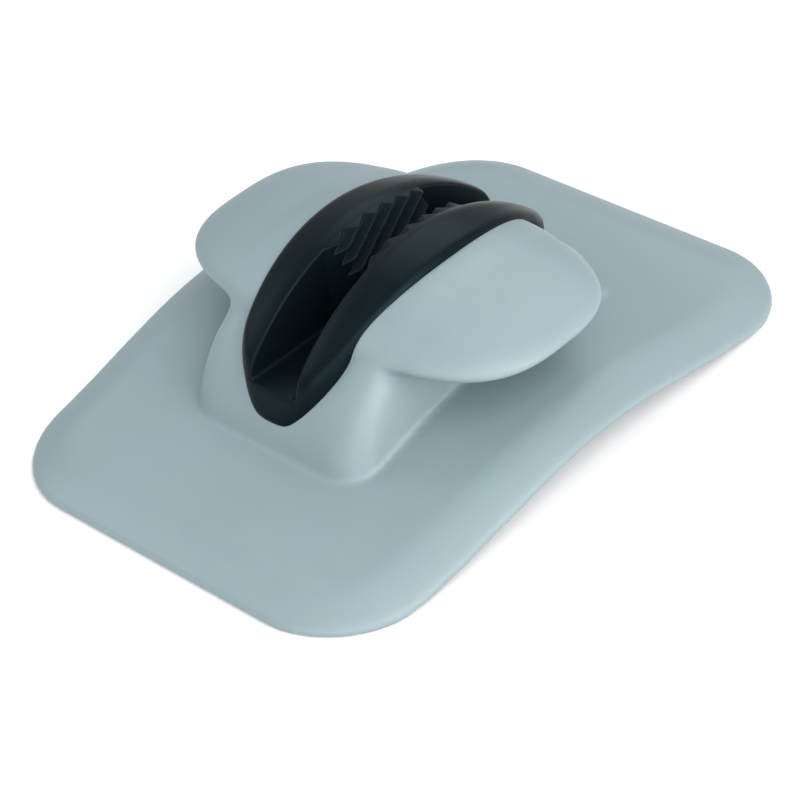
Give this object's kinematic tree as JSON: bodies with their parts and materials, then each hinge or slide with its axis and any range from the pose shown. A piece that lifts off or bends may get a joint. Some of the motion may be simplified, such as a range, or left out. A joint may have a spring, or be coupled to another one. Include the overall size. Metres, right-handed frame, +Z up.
{
  "type": "rope cleat",
  "caption": "Rope cleat on a flexible glue-on pad: a toothed jam cleat set in a soft moulding, with a belaying horn at each side.",
  "frame": {"origin": "under the middle of the pad, on the level of its two flat ends", "axes": "+Y along the rope groove, with the teeth leaning down towards -Y; +X along the horns; +Z up from the pad"},
  "size_m": [0.1208, 0.1654, 0.0459],
  "materials": {
    "soft_moulding": "satin soft vinyl, pale blue-grey",
    "hard_black": "satin moulded nylon, near black",
    "frame_plastic": "glass-filled nylon, dark grey",
    "screw_steel": "bright stainless steel",
    "insert_brass": "turned brass",
    "patch_fabric": "vinyl-coated fabric"
  },
  "bodies": {
    "root": {"base_moulding": "soft_moulding", "cleat_body": "hard_black", "horn_frame": "frame_plastic", "cleat_screws": "screw_steel", "threaded_inserts": "insert_brass", "closing_patch": "patch_fabric"}
  },
  "joints": []
}
